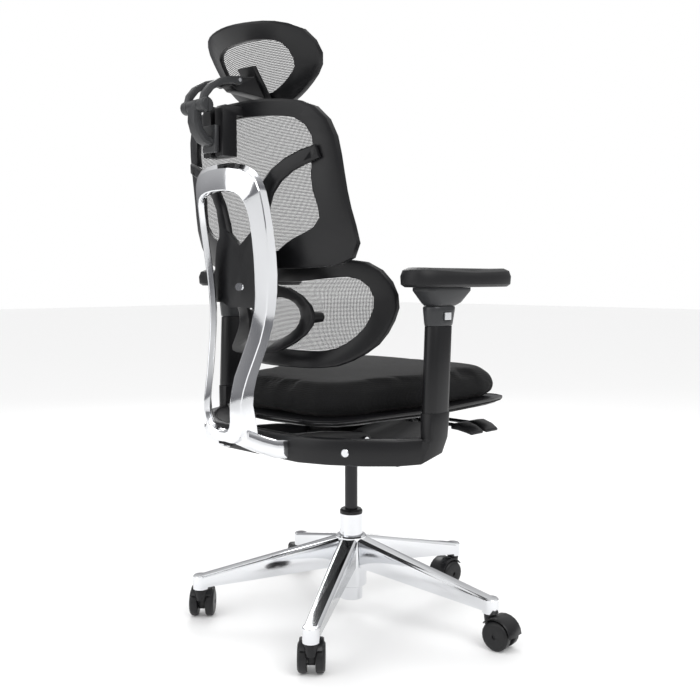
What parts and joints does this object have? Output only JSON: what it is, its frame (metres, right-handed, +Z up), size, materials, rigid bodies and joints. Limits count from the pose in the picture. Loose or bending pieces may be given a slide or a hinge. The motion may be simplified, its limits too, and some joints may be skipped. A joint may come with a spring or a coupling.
{
  "type": "swivel office chair",
  "caption": "High-backed mesh office chair with tilting headrest, lumbar pad, adjustable arms, polished back hoop and polished star base on casters.",
  "frame": {"origin": "on the floor, on the chair's plane of symmetry, halfway along its length; the lift's axis is 34 mm in front of it", "axes": "+Z up, -Y the way the sitter faces, +X to the sitter's left"},
  "size_m": [0.7507, 0.7589, 1.212],
  "materials": {
    "polished_aluminium": "polished",
    "chromed_steel": "polished",
    "black_steel": "satin",
    "black_casting": "satin",
    "black_plastic": "satin",
    "grey_plastic": "satin",
    "soft_pad": "matte",
    "tread": "matte",
    "black_fabric": "matte",
    "black_mesh": "matte"
  },
  "bodies": {
    "base": {"star_base": "polished_aluminium", "gas_lift_sleeve": "chromed_steel", "hub_bush": "black_plastic"},
    "lift": {"gas_lift_shaft": "black_steel"},
    "mechanism": {"tilt_mechanism": "black_casting", "recline_pin": "chromed_steel", "seat_hinge_pin": "chromed_steel"},
    "knob": {"tension_knob": "black_plastic"},
    "lever_height": {"height_lever": "black_plastic"},
    "lever_tilt": {"tilt_lever": "black_plastic"},
    "seat": {"seat_pan": "black_plastic", "seat_cushion": "black_fabric"},
    "back": {"back_carrier": "black_plastic", "carrier_bolt_left": "chromed_steel", "carrier_bolt_right": "chromed_steel", "back_hoop": "polished_aluminium", "back_frame": "black_plastic", "back_mesh": "black_mesh", "spine_plate": "black_plastic", "blank_badge": "chromed_steel", "arm_post_left": "black_plastic", "arm_post_right": "black_plastic"},
    "lumbar": {"lumbar_bracket": "black_plastic", "lumbar_frame": "black_plastic", "lumbar_mesh": "black_mesh"},
    "headrest_slider": {"headrest_stalk": "grey_plastic", "headrest_pivot_bolt": "grey_plastic"},
    "headrest_link": {"headrest_arm": "grey_plastic", "headrest_tilt_pin": "chromed_steel"},
    "headrest": {"headrest_frame": "black_plastic", "headrest_mesh": "black_mesh", "headrest_clevis": "black_plastic"},
    "arm_left": {"arm_stem_left": "grey_plastic"},
    "arm_turntable_left": {"arm_bracket_left": "grey_plastic"},
    "pad_left": {"arm_pad_left": "soft_pad"},
    "button_left": {"arm_button_left": "chromed_steel"},
    "arm_right": {"arm_stem_right": "grey_plastic"},
    "arm_turntable_right": {"arm_bracket_right": "grey_plastic"},
    "pad_right": {"arm_pad_right": "soft_pad"},
    "button_right": {"arm_button_right": "chromed_steel"},
    "caster_1": {"caster_hood_1": "black_plastic"},
    "wheels_1": {"caster_axle_1": "black_steel", "caster_wheel_left_1": "tread", "caster_wheel_right_1": "tread"},
    "caster_2": {"caster_hood_2": "black_plastic"},
    "wheels_2": {"caster_axle_2": "black_steel", "caster_wheel_left_2": "tread", "caster_wheel_right_2": "tread"},
    "caster_3": {"caster_hood_3": "black_plastic"},
    "wheels_3": {"caster_axle_3": "black_steel", "caster_wheel_left_3": "tread", "caster_wheel_right_3": "tread"},
    "caster_4": {"caster_hood_4": "black_plastic"},
    "wheels_4": {"caster_axle_4": "black_steel", "caster_wheel_left_4": "tread", "caster_wheel_right_4": "tread"},
    "caster_5": {"caster_hood_5": "black_plastic"},
    "wheels_5": {"caster_axle_5": "black_steel", "caster_wheel_left_5": "tread", "caster_wheel_right_5": "tread"}
  },
  "joints": [
    {"name": "lift_height", "type": "slide", "parent": "base", "child": "lift", "axis": [0, 0, 1], "range_m": [-0.09, 0]},
    {"name": "seat_swivel", "type": "hinge", "parent": "lift", "child": "mechanism", "pos_m": [0, -0.034, 0.352], "axis": [0, 0, 1], "continuous": true},
    {"name": "recline", "type": "hinge", "parent": "mechanism", "child": "back", "pos_m": [0, 0.001, 0.404], "axis": [-1, 0, 0], "range_deg": [0, 20], "stiffness_Nm_per_rad": 60, "springref_deg": -25.78},
    {"name": "seat_tilt", "type": "hinge", "parent": "mechanism", "child": "seat", "pos_m": [0, -0.159, 0.436], "axis": [-1, 0, 0], "range_deg": [0, 10]},
    {"name": "tension_turn", "type": "hinge", "parent": "mechanism", "child": "knob", "pos_m": [0, -0.03, 0.374], "axis": [1, 0, 0], "range_deg": [-540, 540]},
    {"name": "height_lever_pull", "type": "hinge", "parent": "mechanism", "child": "lever_height", "pos_m": [0, -0.174, 0.428], "axis": [1, 0, 0], "range_deg": [0, 15], "stiffness_Nm_per_rad": 0.8, "springref_deg": -5.73},
    {"name": "tilt_lever_flip", "type": "hinge", "parent": "mechanism", "child": "lever_tilt", "pos_m": [0, -0.226, 0.428], "axis": [1, 0, 0], "range_deg": [-15, 15]},
    {"name": "lumbar_tilt", "type": "hinge", "parent": "back", "child": "lumbar", "pos_m": [0, 0.246, 0.73], "axis": [-1, 0, 0], "range_deg": [-2, 4]},
    {"name": "headrest_height", "type": "slide", "parent": "back", "child": "headrest_slider", "axis": [0, 0, 1], "range_m": [0, 0.03]},
    {"name": "headrest_reach", "type": "hinge", "parent": "headrest_slider", "child": "headrest_link", "pos_m": [0, 0.366, 1.0545], "axis": [1, 0, 0], "range_deg": [-15, 12]},
    {"name": "headrest_tilt", "type": "hinge", "parent": "headrest_link", "child": "headrest", "pos_m": [0, 0.2885, 1.1095], "axis": [1, 0, 0], "range_deg": [-20, 20]},
    {"name": "arm_height_left", "type": "slide", "parent": "back", "child": "arm_left", "axis": [0, -0.0449, 0.999], "range_m": [0, 0.06]},
    {"name": "arm_turn_left", "type": "hinge", "parent": "arm_left", "child": "arm_turntable_left", "pos_m": [0.31, 0.04509, 0.692], "axis": [0, 0, 1], "range_deg": [-15, 15]},
    {"name": "pad_reach_left", "type": "slide", "parent": "arm_turntable_left", "child": "pad_left", "axis": [0, 1, 0], "range_m": [-0.025, 0.025]},
    {"name": "arm_button_press_left", "type": "slide", "parent": "arm_left", "child": "button_left", "axis": [-1, 0, 0], "range_m": [0, 0.0025], "stiffness_N_per_m": 600, "springref_m": -0.002},
    {"name": "arm_height_right", "type": "slide", "parent": "back", "child": "arm_right", "axis": [0, -0.0449, 0.999], "range_m": [0, 0.06]},
    {"name": "arm_turn_right", "type": "hinge", "parent": "arm_right", "child": "arm_turntable_right", "pos_m": [-0.31, 0.04509, 0.692], "axis": [0, 0, 1], "range_deg": [-15, 15]},
    {"name": "pad_reach_right", "type": "slide", "parent": "arm_turntable_right", "child": "pad_right", "axis": [0, 1, 0], "range_m": [-0.025, 0.025]},
    {"name": "arm_button_press_right", "type": "slide", "parent": "arm_right", "child": "button_right", "axis": [1, 0, 0], "range_m": [0, 0.0025], "stiffness_N_per_m": 600, "springref_m": -0.002},
    {"name": "caster_turn_1", "type": "hinge", "parent": "base", "child": "caster_1", "pos_m": [0.21278, 0.21824, 0.068], "axis": [0, 0, 1], "continuous": true},
    {"name": "wheel_spin_1", "type": "hinge", "parent": "caster_1", "child": "wheels_1", "pos_m": [0.22975, 0.20127, 0.03], "axis": [0.7071, 0.7071, 0], "continuous": true},
    {"name": "caster_turn_2", "type": "hinge", "parent": "base", "child": "caster_2", "pos_m": [-0.17414, 0.24631, 0.068], "axis": [0, 0, 1], "continuous": true},
    {"name": "wheel_spin_2", "type": "hinge", "parent": "caster_2", "child": "wheels_2", "pos_m": [-0.15717, 0.22934, 0.03], "axis": [0.7071, 0.7071, 0], "continuous": true},
    {"name": "caster_turn_3", "type": "hinge", "parent": "base", "child": "caster_3", "pos_m": [-0.32041, -0.113, 0.068], "axis": [0, 0, 1], "continuous": true},
    {"name": "wheel_spin_3", "type": "hinge", "parent": "caster_3", "child": "wheels_3", "pos_m": [-0.34431, -0.11509, 0.03], "axis": [0.0872, -0.9962, 0], "continuous": true},
    {"name": "caster_turn_4", "type": "hinge", "parent": "base", "child": "caster_4", "pos_m": [-0.02388, -0.36313, 0.068], "axis": [0, 0, 1], "continuous": true},
    {"name": "wheel_spin_4", "type": "hinge", "parent": "caster_4", "child": "wheels_4", "pos_m": [-0.02179, -0.33923, 0.03], "axis": [-0.9962, 0.0872, 0], "continuous": true},
    {"name": "caster_turn_5", "type": "hinge", "parent": "base", "child": "caster_5", "pos_m": [0.30565, -0.15842, 0.068], "axis": [0, 0, 1], "continuous": true},
    {"name": "wheel_spin_5", "type": "hinge", "parent": "caster_5", "child": "wheels_5", "pos_m": [0.32643, -0.17042, 0.03], "axis": [0.5, 0.866, 0], "continuous": true}
  ],
  "couplings": [
    {"joint": "seat_tilt", "follows": "recline", "ratio": 0.5}
  ]
}
